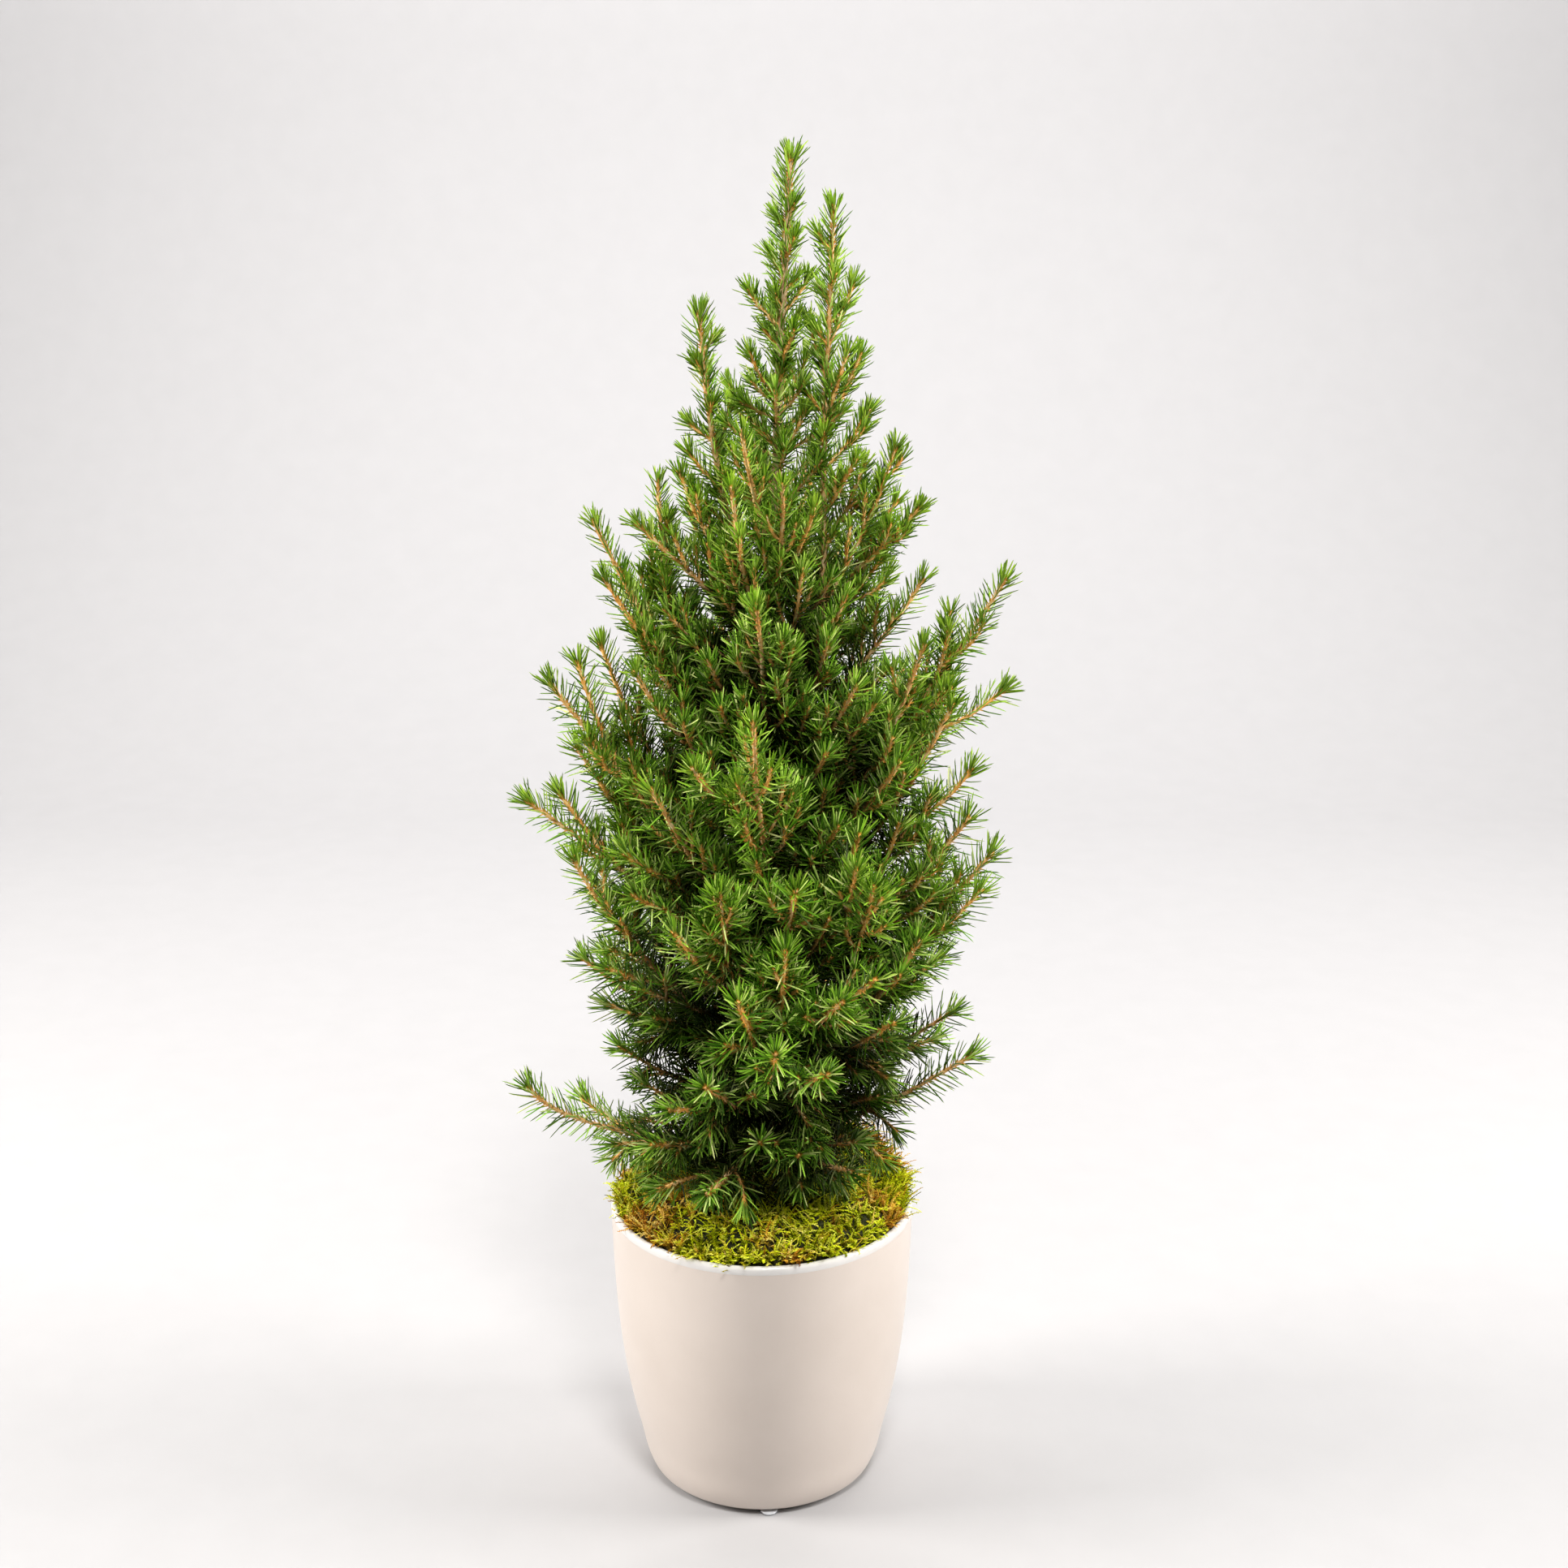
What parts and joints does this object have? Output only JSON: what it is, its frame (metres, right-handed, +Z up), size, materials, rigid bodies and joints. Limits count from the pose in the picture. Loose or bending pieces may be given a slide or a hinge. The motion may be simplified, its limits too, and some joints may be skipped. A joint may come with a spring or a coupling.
{
  "type": "tabletop tree",
  "caption": "Small conical spruce tree with short curved needles, green moss cover and nursery pot, standing in a round tapered off-white glazed cachepot with a rolled rim.",
  "frame": {"origin": "on the table plane, on the cachepot's vertical axis", "axes": "+Z up along the pot axis; -Y is the side that faces the viewer in the picture, +X is the viewer's right"},
  "size_m": [0.2765, 0.2431, 0.7694],
  "materials": {
    "glaze": "satin",
    "bumper": "gloss",
    "liner": "matte",
    "soil": "matte",
    "moss": "matte",
    "bark": "matte",
    "needles": "satin"
  },
  "bodies": {
    "planter": {"planter_pot": "glaze", "bumper_foot_1": "bumper", "bumper_foot_2": "bumper", "bumper_foot_3": "bumper"},
    "plant": {"grow_pot": "liner", "root_ball": "soil", "moss_mat_1": "moss", "moss_mat_2": "moss", "moss_mat_3": "moss", "moss_mat_4": "moss", "trunk": "bark", "leader_right": "needles", "leader_left": "needles", "limb_left_01": "needles", "limb_left_02": "needles", "limb_left_04": "needles", "limb_left_05": "needles", "limb_left_06": "needles", "limb_left_08": "needles", "limb_left_09": "needles", "limb_left_10": "needles", "limb_left_12": "needles", "limb_front_01": "needles", "limb_front_02": "needles", "limb_front_03": "needles", "limb_front_04": "needles", "limb_front_05": "needles", "limb_front_07": "needles", "limb_front_08": "needles", "limb_front_09": "needles", "limb_front_10": "needles", "limb_front_11": "needles", "limb_front_12": "needles", "limb_front_13": "needles", "limb_front_14": "needles", "limb_front_15": "needles", "limb_front_16": "needles", "limb_right_01": "needles", "limb_right_02": "needles", "limb_right_04": "needles", "limb_right_05": "needles", "limb_right_06": "needles", "limb_right_08": "needles", "limb_right_09": "needles", "limb_back_01": "needles", "limb_back_02": "needles", "limb_back_03": "needles", "limb_back_04": "needles", "limb_back_06": "needles", "limb_back_07": "needles", "limb_back_08": "needles", "limb_back_09": "needles"},
    "bough_left_03": {"limb_left_03": "needles"},
    "bough_left_07": {"limb_left_07": "needles"},
    "bough_left_11": {"limb_left_11": "needles"},
    "bough_front_06": {"limb_front_06": "needles"},
    "bough_right_03": {"limb_right_03": "needles"},
    "bough_right_07": {"limb_right_07": "needles"},
    "bough_right_10": {"limb_right_10": "needles"},
    "bough_back_05": {"limb_back_05": "needles"}
  },
  "joints": [
    {"name": "lift_out", "type": "slide", "parent": "planter", "child": "plant", "axis": [0, 0, 1], "range_m": [0, 0.17]},
    {"name": "flex_left_03", "type": "hinge", "parent": "plant", "child": "bough_left_03", "pos_m": [0.00206, 0.00021, 0.424], "axis": [-0.0174, 0.9998, 0], "range_deg": [-8, 8], "stiffness_Nm_per_rad": 0.35},
    {"name": "flex_left_07", "type": "hinge", "parent": "plant", "child": "bough_left_07", "pos_m": [-0.00099, 0.00112, 0.297], "axis": [-0.0523, 0.9986, 0], "range_deg": [-8, 8], "stiffness_Nm_per_rad": 0.35},
    {"name": "flex_left_11", "type": "hinge", "parent": "plant", "child": "bough_left_11", "pos_m": [-0.00303, -0.00092, 0.207], "axis": [-0.1564, 0.9877, 0], "range_deg": [-8, 8], "stiffness_Nm_per_rad": 0.35},
    {"name": "flex_front_06", "type": "hinge", "parent": "plant", "child": "bough_front_06", "pos_m": [0.00571, -0.00491, 0.342], "axis": [-0.9976, 0.0698, 0], "range_deg": [-8, 8], "stiffness_Nm_per_rad": 0.35},
    {"name": "flex_right_03", "type": "hinge", "parent": "plant", "child": "bough_right_03", "pos_m": [0.01237, 0.00041, 0.39], "axis": [-0.0349, -0.9994, 0], "range_deg": [-8, 8], "stiffness_Nm_per_rad": 0.35},
    {"name": "flex_right_07", "type": "hinge", "parent": "plant", "child": "bough_right_07", "pos_m": [0.01179, 0.00113, 0.264], "axis": [0.0174, -0.9998, 0], "range_deg": [-8, 8], "stiffness_Nm_per_rad": 0.35},
    {"name": "flex_right_10", "type": "hinge", "parent": "plant", "child": "bough_right_10", "pos_m": [0.01156, -0.00042, 0.206], "axis": [-0.0872, -0.9962, 0], "range_deg": [-8, 8], "stiffness_Nm_per_rad": 0.35},
    {"name": "flex_back_05", "type": "hinge", "parent": "plant", "child": "bough_back_05", "pos_m": [0.01036, 0.00509, 0.368], "axis": [0.7431, -0.6691, 0], "range_deg": [-8, 8], "stiffness_Nm_per_rad": 0.35}
  ]
}
